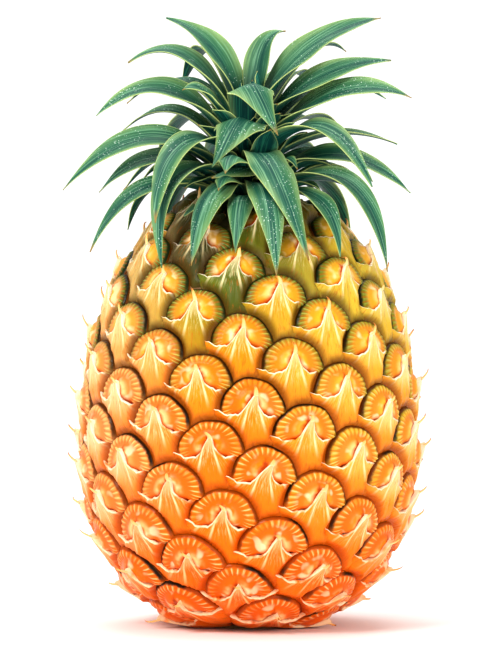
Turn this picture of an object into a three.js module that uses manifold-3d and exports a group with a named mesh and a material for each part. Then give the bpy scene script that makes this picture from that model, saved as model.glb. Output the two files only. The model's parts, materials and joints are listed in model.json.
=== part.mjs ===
// A whole pineapple: a barrel-shaped fruit covered in spiral rows of eyes, each with a domed cap and a
// pointed bract over it, under a crown of arching channelled leaves, standing on its cut stalk.
// Millimetres, +Z up. The origin is the middle of the stalk's cut face, which the fruit stands on,
// and -Y is the side that faces the viewer.
import * as THREE from "three";
import { mergeVertices } from "three/addons/utils/BufferGeometryUtils.js";
import Module from "manifold-3d";

// Fruit outline, measured to the seams between the eyes: two superellipse halves that meet at the waist
const SEAM_RADIUS = 61.4;
const WAIST_HEIGHT = 72;
const FOOT_HEIGHT = 0.2;
const SHOULDER_HEIGHT = 166;
const LOWER_HALF = { flatness: 2.4, roundness: 2.2 };
const UPPER_HALF = { flatness: 2.2, roundness: 2.0 };
const BASE_FACE_HEIGHT = 1.9;
const TOP_FACE_HEIGHT = 159.5;
const OUTLINE_STEPS = 1200;
const SLAB_WIDTH = 200;
const WELD_DISTANCE = 1e-4;

// Spiral lattice of the eyes: each next eye up is turned by this share of a circle
const EYE_TURN = 0.3815;
const EYE_AREA = 455;
const EYE_AREA_LOSS_PER_MM = 0.9;
const EYE_AREA_HEIGHT = 80;
const FRONT_EYE = { height: 89.3, angle: 1.2 };
const POLE_RADIUS = 9;

// The skin's grid: arms that lead to the 8th and the 13th next eye, which lie 3 and 5 turns on, with
// this many steps to an arm. Eyes up to NEIGHBOURS away, up to WIDEST_EYE times as wide, are looked at.
const ARM_A = 8;
const ARM_B = 13;
const TURNS_A = 3;
const TURNS_B = 5;
const GRID = 6;
const NEIGHBOURS = 36;
const WIDEST_EYE = 1.2;

// One eye of the mid height: a domed cap, and a bract from below that ends in a thorn. The bract's
// shares and tapers are of its half width and height.
const CAP = { halfWidth: 10.9, top: 11.6, skirt: 7.5, drop: 4.2, height: 4 };
const BRACT = { halfWidth: 10.4, shoulder: -5, foot: -19, tip: 1.2, height: 5.2 };
const BRACT_SHAPE = { neck: 0.42, neckTaper: 1.4, tip: 0.05, footTaper: 0.85, footHeight: 0.3, round: 0.6 };
const THORN = { out: 2.1, up: 2.4 };
const RELIEF_FADE = { from: 13, to: 25 };
const THORN_FADE = { from: 21, to: 33 };

// Stalk and crown
const STALK = { radius: 16, height: 1.6, sides: 28 };
const STEM = { bottom: 159.8, top: 203, bottomRadius: 12.5, topRadius: 3, sides: 14 };
const LEAF_THICKNESS = 1.1;
const LEAF_EDGE_THICKNESS = 0.65;
const LEAF_TIP_WIDTH = 0.9;
const LEAF_SEGMENTS = 9;
const LEAF_GAP = 0.4;
const LEAF_CHANNEL = { depth: 0.4, lossToTip: 0.4 };
const LEAF_ROLLED_AT = 0.45;
const LEAF_SHAPE = { foot: 0.62, swell: 1.6, narrowing: 1.35, point: 2.2, pointRound: 0.9 };

// Each leaf leaves the stem at a height (foot), heads for its bend and ends at its tip, both given as
// [out from the axis, up]. Turn is the side that it points to, 0 to the viewer and 90 to the right,
// sweep is how far it has swung round by its tip and roll how far its face leans, both in degrees.
// Width is its widest, in millimetres.
const LEAVES = [
  { turn: -107, foot: 199, bend: [9, 224], tip: [33, 231], width: 14, roll: -30 },
  { turn: 152, foot: 201, bend: [8, 226], tip: [15, 226], width: 12, sweep: -40 },
  { turn: 100, foot: 198, bend: [22, 226], tip: [51, 231], width: 16, roll: 30 },
  { turn: -94, foot: 193, bend: [24, 229], tip: [46, 214], width: 14, roll: -20 },
  { turn: 126, foot: 194, bend: [30, 229], tip: [46, 218], width: 13 },
  { turn: -147, foot: 196, bend: [28, 238], tip: [48, 203], width: 13 },
  { turn: 86, foot: 192, bend: [28, 214], tip: [54, 215], width: 15, roll: 35 },
  { turn: -1, foot: 190, bend: [15, 224], tip: [27, 187], width: 19, sweep: 25 },
  { turn: -176, foot: 191, bend: [20, 216], tip: [43, 206], width: 13 },
  { turn: -60, foot: 187, bend: [18, 209], tip: [29, 204], width: 10, roll: -30 },
  { turn: -87, foot: 185, bend: [32, 218], tip: [58, 194], width: 15, roll: -30 },
  { turn: 77, foot: 185, bend: [36, 213], tip: [63, 201], width: 15, roll: 35 },
  { turn: -9, foot: 182, bend: [17, 208], tip: [27, 175], width: 22, sweep: -22 },
  { turn: 151, foot: 188.5, bend: [28, 222], tip: [54, 203], width: 13 },
  { turn: -168, foot: 185, bend: [28, 218], tip: [54, 197], width: 14 },
  { turn: 119, foot: 186.5, bend: [32, 215], tip: [60, 200], width: 13 },
  { turn: -126, foot: 189, bend: [30, 219], tip: [58, 198], width: 13 },
  { turn: -106, foot: 178.5, bend: [28, 207], tip: [50, 188], width: 11, roll: -15 },
  { turn: 54, foot: 180, bend: [34, 204], tip: [57, 168], width: 17, roll: 10 },
  { turn: 98, foot: 178, bend: [32, 193], tip: [57, 183], width: 13, roll: 5 },
  { turn: -83, foot: 174, bend: [40, 200], tip: [71, 166], width: 15, roll: -35 },
  { turn: -54, foot: 180, bend: [32, 197], tip: [58, 155], width: 16, sweep: 17, roll: -10 },
  { turn: 174, foot: 178.5, bend: [34, 206], tip: [60, 180], width: 14 },
  { turn: 140, foot: 182, bend: [36, 205], tip: [62, 178], width: 14 },
  { turn: -145, foot: 182, bend: [36, 206], tip: [62, 178], width: 14 },
  { turn: 80, foot: 172, bend: [36, 188], tip: [62, 165], width: 15, roll: 25 },
  { turn: 3, foot: 168.5, bend: [17, 180], tip: [26, 171], width: 15, sweep: -36 },
  { turn: 14, foot: 177, bend: [42, 191], tip: [51, 141], width: 17, sweep: 12 },
  { turn: -47, foot: 172.5, bend: [52, 184], tip: [54, 138], width: 12, sweep: 10, roll: -15 },
  { turn: -86, foot: 169, bend: [36, 188], tip: [57, 165], width: 13, roll: -30 },
  { turn: -115, foot: 172.5, bend: [32, 189], tip: [53, 165], width: 13, roll: -10 },
  { turn: -164, foot: 172.5, bend: [38, 195], tip: [62, 165], width: 14 },
  { turn: 152, foot: 174.5, bend: [38, 194], tip: [62, 163], width: 14 },
  { turn: 125, foot: 171, bend: [38, 190], tip: [58, 168], width: 14 },
  { turn: -72, foot: 164, bend: [46, 178], tip: [63, 143], width: 13, roll: -20 },
  { turn: 62, foot: 167, bend: [50, 185], tip: [59, 136], width: 14, roll: 15 },
  { turn: 43, foot: 164, bend: [45, 171], tip: [50, 142], width: 13 },
  { turn: -24, foot: 166, bend: [42, 176], tip: [53, 139], width: 13 },
  { turn: -6, foot: 162, bend: [36, 171], tip: [49, 144], width: 11 },
  { turn: 11, foot: 167, bend: [46, 177], tip: [54, 135], width: 14 },
  { turn: -54, foot: 169, bend: [22, 172], tip: [30, 167], width: 8 },
  { turn: -40, foot: 161.5, bend: [26, 163], tip: [38, 157], width: 9 },
  { turn: 100, foot: 166, bend: [40, 178], tip: [51, 150], width: 12 },
  { turn: 137, foot: 168, bend: [46, 179], tip: [58, 142], width: 13 },
  { turn: 179, foot: 167, bend: [45, 179], tip: [58, 140], width: 14 },
  { turn: -142, foot: 169, bend: [45, 180], tip: [58, 140], width: 14 },
  { turn: -112, foot: 165, bend: [42, 177], tip: [50, 150], width: 13 },
];

const radians = THREE.MathUtils.degToRad;
const clamp = THREE.MathUtils.clamp;
const smoothstep = THREE.MathUtils.smoothstep;

const wasm = await Module();
wasm.setup();

// Radius of the fruit's seams at a height
function seamRadius(z) {
  const low = z < WAIST_HEIGHT;
  const reach = low ? WAIST_HEIGHT - FOOT_HEIGHT : SHOULDER_HEIGHT - WAIST_HEIGHT;
  const { flatness, roundness } = low ? LOWER_HALF : UPPER_HALF;
  const share = clamp(Math.abs(z - WAIST_HEIGHT) / reach, 0, 1);
  return SEAM_RADIUS * (1 - share ** flatness) ** (1 / roundness);
}

// The outline as a list of points from the foot up, with the eye number that each height has
function outline() {
  const rows = [];
  let arc = 0;
  let eye = 0;
  for (let i = 0; i <= OUTLINE_STEPS; i++) {
    const share = (1 - Math.cos((Math.PI * i) / OUTLINE_STEPS)) / 2;
    const z = FOOT_HEIGHT + (SHOULDER_HEIGHT - FOOT_HEIGHT) * share;
    const r = seamRadius(z);
    if (i) {
      const last = rows[i - 1];
      const step = Math.hypot(z - last.z, r - last.r);
      const area = EYE_AREA + (EYE_AREA_HEIGHT - z) * EYE_AREA_LOSS_PER_MM;
      arc += step;
      eye += (step * 2 * Math.PI * Math.max((r + last.r) / 2, POLE_RADIUS / 2)) / area;
    }
    rows.push({ z, r, arc, eye });
  }
  const front = rows.find((row) => row.z >= FRONT_EYE.height).eye;
  rows.forEach((row) => (row.eye -= front));
  return rows;
}
const OUTLINE = outline();

// The outline at an eye number: height, radius, distance along it, and the outward normal
function along(eye) {
  let low = 0;
  let high = OUTLINE.length - 1;
  while (high - low > 1) {
    const mid = (low + high) >> 1;
    if (OUTLINE[mid].eye < eye) low = mid;
    else high = mid;
  }
  const a = OUTLINE[low];
  const b = OUTLINE[high];
  const t = clamp((eye - a.eye) / (b.eye - a.eye || 1), 0, 1);
  const mix = (key) => a[key] + (b[key] - a[key]) * t;
  const length = Math.hypot(b.z - a.z, b.r - a.r);
  const outward = (b.z - a.z) / length;
  const upward = (a.r - b.r) / length;
  return { z: mix("z"), r: mix("r"), arc: mix("arc"), outward, upward };
}

// Angle of an eye round the axis, 0 at the front and positive to the viewer's right
const eyeAngle = (eye) => radians(FRONT_EYE.angle) - 2 * Math.PI * EYE_TURN * eye;

// Height of one eye over the seams, at a place given across and up from its bract's tip
function eyeRelief(across, up) {
  const u = across / CAP.halfWidth;
  const rise = up + CAP.drop;
  const v = rise > 0 ? rise / CAP.top : rise / CAP.skirt;
  const rim = u * u + v * v;
  const cap = rim < 1 ? CAP.height * Math.sqrt(1 - rim) : 0;
  return Math.max(cap, bractRelief(across, up));
}

// The bract narrows from its shoulders down to its foot, and rises in the middle to its tip
function bractRelief(across, up) {
  const side = Math.abs(across);
  if (up < BRACT.foot || up > BRACT.tip) return 0;
  const below = clamp((BRACT.shoulder - up) / (BRACT.shoulder - BRACT.foot), 0, 1);
  const above = clamp((up - BRACT.shoulder) / (BRACT.tip - BRACT.shoulder), 0, 1);
  const neck = BRACT_SHAPE.neck * (1 - above) ** BRACT_SHAPE.neckTaper + BRACT_SHAPE.tip;
  const reach = BRACT.halfWidth * (above > 0 ? neck : 1 - below ** BRACT_SHAPE.footTaper);
  if (side >= reach) return 0;
  const ridge = (1 - (side / reach) ** 2) ** BRACT_SHAPE.round;
  return BRACT.height * THREE.MathUtils.lerp(1, BRACT_SHAPE.footHeight, below) * ridge;
}

// Relief of the whole fruit at an angle and an eye number: the highest eye there
function relief(angle, eye, here) {
  let most = 0;
  const size = Math.sqrt((EYE_AREA + (EYE_AREA_HEIGHT - here.z) * EYE_AREA_LOSS_PER_MM) / EYE_AREA);
  for (let k = Math.ceil(eye - NEIGHBOURS); k <= eye + NEIGHBOURS; k++) {
    const turn = angle - eyeAngle(k);
    const across = (turn - 2 * Math.PI * Math.round(turn / (2 * Math.PI))) * here.r;
    if (Math.abs(across) > CAP.halfWidth * WIDEST_EYE) continue;
    const up = here.arc - along(k).arc;
    most = Math.max(most, eyeRelief(across / size, up / size));
  }
  return most * size * smoothstep(here.r, RELIEF_FADE.from, RELIEF_FADE.to);
}

// A point of the fruit's skin. Thorns stand where the grid meets an eye's own place.
function skinPoint(angle, eye, thorn) {
  const here = along(eye);
  const fade = smoothstep(here.r, THORN_FADE.from, THORN_FADE.to);
  const height = relief(angle, eye, here) + (thorn ? THORN.out * fade : 0);
  const r = here.r + here.outward * height;
  const z = here.z + here.upward * height + (thorn ? THORN.up * fade : 0);
  return [r * Math.sin(angle), -r * Math.cos(angle), z];
}

// A closed solid for cutting, from a geometry, and a geometry from such a solid
function manifoldOf(geometry) {
  geometry.deleteAttribute("normal");
  geometry.deleteAttribute("uv");
  const merged = mergeVertices(geometry, WELD_DISTANCE);
  const vertProperties = new Float32Array(merged.attributes.position.array);
  const triVerts = new Uint32Array(merged.index.array);
  return new wasm.Manifold(new wasm.Mesh({ numProp: 3, vertProperties, triVerts }));
}

function geometryOf(solid) {
  const { vertProperties, triVerts, numProp } = solid.getMesh();
  const geometry = new THREE.BufferGeometry();
  const attribute = new THREE.InterleavedBufferAttribute(
    new THREE.InterleavedBuffer(vertProperties, numProp), 3, 0);
  const positions = new Float32Array(attribute.count * 3);
  for (let i = 0; i < attribute.count; i++) {
    positions.set([attribute.getX(i), attribute.getY(i), attribute.getZ(i)], i * 3);
  }
  geometry.setAttribute("position", new THREE.BufferAttribute(positions, 3));
  geometry.setIndex(new THREE.BufferAttribute(triVerts, 1));
  return geometry;
}

function meshGeometry(positions, faces) {
  const geometry = new THREE.BufferGeometry();
  geometry.setAttribute("position", new THREE.Float32BufferAttribute(positions, 3));
  geometry.setIndex(faces);
  return geometry;
}

// Loops of edges that only one face uses, each as a list of vertices in the order the faces have them
function openLoops(faces) {
  const next = new Map();
  const used = new Set();
  for (let i = 0; i < faces.length; i += 3) {
    for (const [p, q] of [[0, 1], [1, 2], [2, 0]]) used.add(`${faces[i + p]},${faces[i + q]}`);
  }
  for (const edge of used) {
    const [a, b] = edge.split(",").map(Number);
    if (!used.has(`${b},${a}`)) next.set(b, a);
  }
  const loops = [];
  while (next.size) {
    const loop = [];
    let at = next.keys().next().value;
    while (next.has(at)) {
      loop.push(at);
      const to = next.get(at);
      next.delete(at);
      at = to;
    }
    loops.push(loop);
  }
  return loops;
}

// The fruit: a grid on the spiral lattice, with the same places in every eye, closed at both poles and
// then cut flat where the stalk and the crown join it
function fruitGeometry() {
  const first = Math.ceil(OUTLINE.find((row) => row.r > POLE_RADIUS).eye);
  const last = Math.floor(OUTLINE.findLast((row) => row.r > POLE_RADIUS).eye);
  const positions = [];
  const indices = new Map();
  const stepA = 2 * Math.PI * (EYE_TURN * ARM_A - TURNS_A);
  const stepB = 2 * Math.PI * (EYE_TURN * ARM_B - TURNS_B);
  const vertex = (k, i, j) => {
    const eye = k + ARM_A * Math.floor(i / GRID) + ARM_B * Math.floor(j / GRID);
    const a = i % GRID;
    const b = j % GRID;
    const at = eye + (ARM_A * a + ARM_B * b) / GRID;
    if (at < first || at > last) return -1;
    const key = `${eye},${a},${b}`;
    if (!indices.has(key)) {
      indices.set(key, positions.length / 3);
      const angle = eyeAngle(eye) - (stepA * a + stepB * b) / GRID;
      positions.push(...skinPoint(angle, at, a === 0 && b === 0));
    }
    return indices.get(key);
  };
  const faces = [];
  for (let k = first - ARM_A - ARM_B; k <= last; k++) {
    for (let i = 0; i < GRID; i++) {
      for (let j = 0; j < GRID; j++) {
        const [p, q, r, s] = [[i, j], [i + 1, j], [i + 1, j + 1], [i, j + 1]].map(
          ([x, y]) => vertex(k, x, y));
        if (Math.min(p, q, r) >= 0) faces.push(p, r, q);
        if (Math.min(p, r, s) >= 0) faces.push(p, s, r);
      }
    }
  }
  for (const loop of openLoops(faces)) {
    const atFoot = positions[loop[0] * 3 + 2] < WAIST_HEIGHT;
    const pole = positions.length / 3;
    positions.push(0, 0, atFoot ? FOOT_HEIGHT : SHOULDER_HEIGHT);
    loop.forEach((v, i) => faces.push(v, loop[(i + 1) % loop.length], pole));
  }
  const whole = manifoldOf(meshGeometry(positions, faces));
  const slabHeight = TOP_FACE_HEIGHT - BASE_FACE_HEIGHT;
  const slab = new THREE.BoxGeometry(SLAB_WIDTH, SLAB_WIDTH, slabHeight);
  slab.translate(0, 0, BASE_FACE_HEIGHT + slabHeight / 2);
  return geometryOf(whole.intersect(manifoldOf(slab)));
}

// A turned piece from its profile, given as [radius, height]
function latheGeometry(points, sides) {
  const geometry = new THREE.LatheGeometry(points.map(([r, z]) => new THREE.Vector2(r, z)), sides);
  geometry.rotateX(Math.PI / 2);
  return geometryOf(manifoldOf(geometry));
}

const stemRadius = (z) =>
  THREE.MathUtils.mapLinear(z, STEM.bottom, STEM.top, STEM.bottomRadius, STEM.topRadius);

// Share of a leaf's full width at each share of its length: a narrow foot, a full middle, a long point
function leafWidth(t) {
  const blade = LEAF_SHAPE.foot + LEAF_SHAPE.swell * t - LEAF_SHAPE.narrowing * t * t;
  return blade * (1 - t ** LEAF_SHAPE.point) ** LEAF_SHAPE.pointRound;
}

// One leaf: a channelled blade swept along an arch from its foot to its tip
function leafGeometry({ turn, foot, bend, tip, width, sweep = 0, roll = 0 }) {
  const arch = new THREE.QuadraticBezierCurve(
    new THREE.Vector2(stemRadius(foot) + LEAF_GAP + LEAF_THICKNESS, foot),
    new THREE.Vector2(...bend), new THREE.Vector2(...tip));
  const positions = [];
  const faces = [];
  for (let i = 0; i <= LEAF_SEGMENTS; i++) {
    const t = i / LEAF_SEGMENTS;
    const point = arch.getPoint(t);
    const slope = arch.getTangent(t);
    const angle = radians(turn + sweep * t * t);
    const out = new THREE.Vector3(Math.sin(angle), -Math.cos(angle), 0);
    const side = new THREE.Vector3(Math.cos(angle), Math.sin(angle), 0);
    const ahead = out.clone().multiplyScalar(slope.x).setZ(slope.y);
    const swing = (2 * radians(sweep) * t * point.x) / arch.getLength();
    ahead.addScaledVector(side, swing).normalize();
    side.addScaledVector(ahead, -side.dot(ahead)).normalize();
    side.applyAxisAngle(ahead, radians(roll) * smoothstep(t, 0, LEAF_ROLLED_AT));
    const face = new THREE.Vector3().crossVectors(ahead, side).normalize();
    const centre = out.clone().multiplyScalar(point.x).setZ(point.y);
    const half = Math.max((width / 2) * leafWidth(t), LEAF_TIP_WIDTH / 2);
    const lift = half * LEAF_CHANNEL.depth * (1 - LEAF_CHANNEL.lossToTip * t);
    const thick = THREE.MathUtils.lerp(LEAF_THICKNESS, LEAF_EDGE_THICKNESS, t) / 2;
    const rim = LEAF_EDGE_THICKNESS / 2;
    const section = [[-half, lift + rim], [0, thick], [half, lift + rim],
      [half, lift - rim], [0, -thick], [-half, lift - rim]];
    for (const [x, y] of section) {
      const p = centre.clone().addScaledVector(side, x).addScaledVector(face, y);
      positions.push(p.x, p.y, p.z);
    }
  }
  const ring = positions.length / 3 / (LEAF_SEGMENTS + 1);
  for (let i = 0; i < LEAF_SEGMENTS; i++) {
    for (let j = 0; j < ring; j++) {
      const [a, b] = [i * ring + j, i * ring + ((j + 1) % ring)];
      faces.push(a, a + ring, b + ring, a, b + ring, b);
    }
  }
  for (const [base, flip] of [[0, false], [LEAF_SEGMENTS * ring, true]]) {
    for (const [p, q, r] of [[0, 1, 4], [0, 4, 5], [1, 2, 3], [1, 3, 4]]) {
      faces.push(base + p, base + (flip ? r : q), base + (flip ? q : r));
    }
  }
  return geometryOf(manifoldOf(meshGeometry(positions, faces)));
}

// Colour and roughness of each kind of surface
const skin = (colour, roughness) =>
  new THREE.MeshStandardMaterial({ color: colour, roughness, metalness: 0 });
const FRUIT_SKIN = skin(0xf08a1c, 0.45);
const STALK_CUT = skin(0xc9a876, 0.9);
const STEM_SKIN = skin(0x4c7340, 0.7);
const LEAF_SKIN = skin(0x2f7a4a, 0.5);

const pineapple = new THREE.Group();
function add(name, geometry, material) {
  const mesh = new THREE.Mesh(geometry, material);
  mesh.name = name;
  pineapple.add(mesh);
}

add("fruit", fruitGeometry(), FRUIT_SKIN);
add("stalk_stub", latheGeometry(
  [[0, 0], [STALK.radius, 0], [STALK.radius, STALK.height], [0, STALK.height]], STALK.sides), STALK_CUT);
add("crown_stem", latheGeometry(
  [[0, STEM.bottom], [STEM.bottomRadius, STEM.bottom], [STEM.topRadius, STEM.top], [0, STEM.top]],
  STEM.sides), STEM_SKIN);
LEAVES.forEach((leaf, i) => {
  add(`crown_leaf_${String(i + 1).padStart(2, "0")}`, leafGeometry(leaf), LEAF_SKIN);
});

export default pineapple;
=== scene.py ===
# %% [markdown]
# # A pineapple, from its spiral of eyes to its crown
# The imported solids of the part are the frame: they give the true size and place of every piece. This
# lesson dresses them. The fruit's skin becomes caps, bracts and thorns that follow its spiral, and each
# plain leaf of the crown becomes a finer blade in the same place.

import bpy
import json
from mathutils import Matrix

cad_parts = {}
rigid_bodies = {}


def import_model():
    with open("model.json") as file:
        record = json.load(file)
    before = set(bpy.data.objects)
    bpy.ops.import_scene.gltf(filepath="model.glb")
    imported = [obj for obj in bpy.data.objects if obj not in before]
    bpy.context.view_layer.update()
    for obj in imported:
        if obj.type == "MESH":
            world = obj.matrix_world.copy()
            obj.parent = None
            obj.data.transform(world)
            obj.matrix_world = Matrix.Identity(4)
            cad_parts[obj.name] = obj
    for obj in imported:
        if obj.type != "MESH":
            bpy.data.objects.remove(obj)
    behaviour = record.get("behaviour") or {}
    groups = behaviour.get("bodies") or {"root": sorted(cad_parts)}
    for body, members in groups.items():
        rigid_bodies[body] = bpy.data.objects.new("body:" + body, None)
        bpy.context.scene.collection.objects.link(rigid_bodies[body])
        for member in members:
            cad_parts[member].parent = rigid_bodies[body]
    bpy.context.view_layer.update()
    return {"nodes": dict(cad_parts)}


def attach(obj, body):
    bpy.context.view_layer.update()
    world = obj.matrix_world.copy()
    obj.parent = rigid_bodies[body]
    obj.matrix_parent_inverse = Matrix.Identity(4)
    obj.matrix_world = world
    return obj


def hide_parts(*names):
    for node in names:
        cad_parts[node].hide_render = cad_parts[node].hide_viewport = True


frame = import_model()
print("nodes in the frame:", len(frame["nodes"]))

# %% Imports and units
import json
import math

import bpy
import numpy as np
from mathutils import Vector
from mathutils.bvhtree import BVHTree

MM = 0.001
SEED = 7

# %% [markdown]
# ## The view
# The drawing shows the fruit from the front, a little from above, with almost no perspective. A long
# lens far away gives that look. The aim and the width come from the scale of 0.38 mm to a pixel.

# %% Camera
PIXEL = 0.38 * MM
IMAGE_WIDTH, IMAGE_HEIGHT = 500, 671
AXIS_PIXEL, GROUND_PIXEL = 249, 626
ELEVATION = math.radians(3)
CAMERA_DISTANCE = 2.6
SENSOR_WIDTH = 36

camera_data = bpy.data.cameras.new("camera")
camera = bpy.data.objects.new("camera", camera_data)
bpy.context.scene.collection.objects.link(camera)
aim = Vector(((IMAGE_WIDTH / 2 - AXIS_PIXEL) * PIXEL, 0,
              (GROUND_PIXEL - IMAGE_HEIGHT / 2) * PIXEL / math.cos(ELEVATION)))
back = Vector((0, -math.cos(ELEVATION), math.sin(ELEVATION)))
camera.location = aim + back * CAMERA_DISTANCE
camera.rotation_euler = (math.pi / 2 - ELEVATION, 0, 0)
camera_data.sensor_width = SENSOR_WIDTH
camera_data.lens = SENSOR_WIDTH * CAMERA_DISTANCE / (IMAGE_HEIGHT * PIXEL)
camera_data.clip_end = 20
bpy.context.scene.camera = camera
print("lens", round(camera_data.lens), "mm")


# %% [markdown]
# ## Mesh helpers
# Every piece is made from arrays of points and faces, with its object left at the origin, so that a
# pattern that reads object coordinates stays where it belongs. Small measures that a material needs,
# such as how far across a leaf a point lies, are kept as attributes of the points.

# %% From arrays to an object
def new_object(name, mesh):
    thing = bpy.data.objects.new(name, mesh)
    bpy.context.scene.collection.objects.link(thing)
    return thing


def note_values(mesh, key, values):
    mesh.attributes.new(key, "FLOAT", "POINT").data.foreach_set("value", np.asarray(values, np.float32))


def mesh_from(name, points, faces, attributes=None, smooth=True):
    mesh = bpy.data.meshes.new(name)
    mesh.from_pydata([tuple(p) for p in points], [], [tuple(int(i) for i in f) for f in faces])
    for key, values in (attributes or {}).items():
        note_values(mesh, key, values)
    mesh.polygons.foreach_set("use_smooth", [smooth] * len(mesh.polygons))
    mesh.update()
    return mesh


def grid_faces(rows, columns, closed=False):
    across = columns if closed else columns - 1
    return [(r * columns + c, r * columns + (c + 1) % columns,
             (r + 1) * columns + (c + 1) % columns, (r + 1) * columns + c)
            for r in range(rows - 1) for c in range(across)]


def ring(radius, turns, z):
    """A ring of points round the axis. A turn of 0 faces the camera."""
    return np.stack([radius * np.sin(turns), -radius * np.cos(turns), z + 0 * turns], 1)


def capped_rings(rings, low, high):
    """Points, in metres, and faces of a stack of rings, closed by a point on the axis at each end."""
    sides = len(rings[0])
    points = np.concatenate([[[0, 0, low]], *rings, [[0, 0, high]]]) * MM
    last = 1 + (len(rings) - 1) * sides
    faces = [(0, 1 + (c + 1) % sides, 1 + c) for c in range(sides)]
    faces += [tuple(1 + i for i in f) for f in grid_faces(len(rings), sides, closed=True)]
    faces += [(last + c, last + (c + 1) % sides, len(points) - 1) for c in range(sides)]
    return points, faces


def points_of(mesh):
    flat = np.empty(len(mesh.vertices) * 3)
    mesh.vertices.foreach_get("co", flat)
    return flat.reshape(-1, 3)


def values_of(mesh, key):
    data = mesh.attributes[key].data
    flat = np.empty(len(data))
    data.foreach_get("value", flat)
    return flat


def finish_piece(thing, nodes):
    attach(thing, "root")
    if nodes:
        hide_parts(*nodes)


# %% [markdown]
# ## Material helpers
# A material is a small network of nodes. This class keeps the later cells short: most of its functions
# make a node, set its inputs and hand back its output. "put" fills one input, with a value or from
# another node. "paint" lays a colour over those laid before, by a share from 0 to 1 that can differ
# from place to place. "use" hands the colour and the bump to the shader.

# %% Node helpers
class Finish:
    """One material, with short calls for the nodes that it needs."""

    def __init__(self, name, roughness, **constants):
        self.material = bpy.data.materials.new(name)
        self.material.use_nodes = True
        self.tree = self.material.node_tree
        self.shader = self.tree.nodes["Principled BSDF"]
        self.shader.inputs["Roughness"].default_value = roughness
        for key, value in constants.items():
            self.shader.inputs[key.replace("_", " ")].default_value = value
        self.colour = None

    def put(self, socket, value):
        if isinstance(value, bpy.types.NodeSocket):
            self.tree.links.new(value, socket)
        else:
            socket.default_value = value

    def node(self, kind, values=(), **settings):
        made = self.tree.nodes.new(kind)
        for key, value in settings.items():
            setattr(made, key, value)
        for socket, value in zip(made.inputs, values):
            if value is not None:
                self.put(socket, value)
        return made

    def math(self, operation, *values):
        return self.node("ShaderNodeMath", values, operation=operation).outputs[0]

    def times(self, first, second):
        return self.math("MULTIPLY", first, second)

    def attribute(self, key):
        return self.node("ShaderNodeAttribute", attribute_name=key).outputs["Fac"]

    def place(self):
        return self.node("ShaderNodeTexCoord").outputs["Object"]

    def sideways(self):
        return self.node("ShaderNodeSeparateXYZ", (self.place(),)).outputs[0]

    def between(self, value, low, high):
        """0 at low, 1 at high, smooth between them."""
        values = (value, low, high, 0.0, 1.0)
        return self.node("ShaderNodeMapRange", values, interpolation_type="SMOOTHSTEP").outputs[0]

    def noise(self, vector, scale, detail=3.0, roughness=0.55):
        made = self.node("ShaderNodeTexNoise")
        self.put(made.inputs["Vector"], vector)
        made.inputs["Scale"].default_value = scale
        made.inputs["Detail"].default_value = detail
        made.inputs["Roughness"].default_value = roughness
        return made.outputs["Fac"]

    def patches(self, scale, low, high, detail=3.0):
        """0 to 1 in soft patches, where a noise lies between low and high."""
        return self.between(self.noise(self.place(), scale, detail), low, high)

    def ramp(self, value, stops):
        made = self.node("ShaderNodeValToRGB")
        self.put(made.inputs[0], value)
        elements = made.color_ramp.elements
        while len(elements) < len(stops):
            elements.new(0.5)
        for element, (position, colour) in zip(elements, stops):
            element.position = position
            element.color = (*colour, 1)
        return made.outputs[0]

    def mix(self, share, first, second):
        made = self.node("ShaderNodeMix", data_type="RGBA")
        self.put(made.inputs[0], share)
        for socket, value in ((made.inputs[6], first), (made.inputs[7], second)):
            self.put(socket, value if isinstance(value, bpy.types.NodeSocket) else (*value, 1))
        return made.outputs[2]

    def paint(self, colour, share):
        self.colour = self.mix(share, self.colour, colour)

    def bump(self, height, distance, strength=1.0):
        made = self.node("ShaderNodeBump")
        made.inputs["Strength"].default_value = strength
        made.inputs["Distance"].default_value = distance
        self.put(made.inputs["Height"], height)
        return made.outputs[0]

    def use(self, colour, normal=None):
        self.put(self.shader.inputs["Base Color"], colour)
        if normal is not None:
            self.put(self.shader.inputs["Normal"], normal)
        return self.material


# %% [markdown]
# ## The fruit's outline and its spiral
# A pineapple's eyes stand on a spiral: each next eye up is turned by the same share of a circle, close
# to the golden angle, and rises by a little less where the fruit is wide. That makes 8 rows one way,
# 13 the other and 21 steep ones. The same rule made the solids, so the finer eyes land on theirs.

# %% Outline of the seams between the eyes
SEAM_RADIUS, WAIST_HEIGHT, FOOT_HEIGHT, SHOULDER_HEIGHT = 61.4, 72, 0.2, 166
LOWER_HALF, UPPER_HALF = (2.4, 2.2), (2.2, 2.0)
BASE_FACE_HEIGHT, TOP_FACE_HEIGHT = 1.9, 159.5
EYE_TURN, EYE_AREA, EYE_AREA_LOSS, EYE_AREA_HEIGHT = 0.3815, 455, 0.9, 80
FRONT_EYE_HEIGHT, FRONT_EYE_ANGLE = 89.3, math.radians(1.2)
POLE_RADIUS = 9


def seam_radius(z):
    low = z < WAIST_HEIGHT
    reach = np.where(low, WAIST_HEIGHT - FOOT_HEIGHT, SHOULDER_HEIGHT - WAIST_HEIGHT)
    share = np.clip(np.abs(z - WAIST_HEIGHT) / reach, 0, 1)
    flat, rounded = (np.where(low, a, b) for a, b in zip(LOWER_HALF, UPPER_HALF))
    return SEAM_RADIUS * (1 - share ** flat) ** (1 / rounded)


def eye_area(z):
    return EYE_AREA + (EYE_AREA_HEIGHT - z) * EYE_AREA_LOSS


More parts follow.
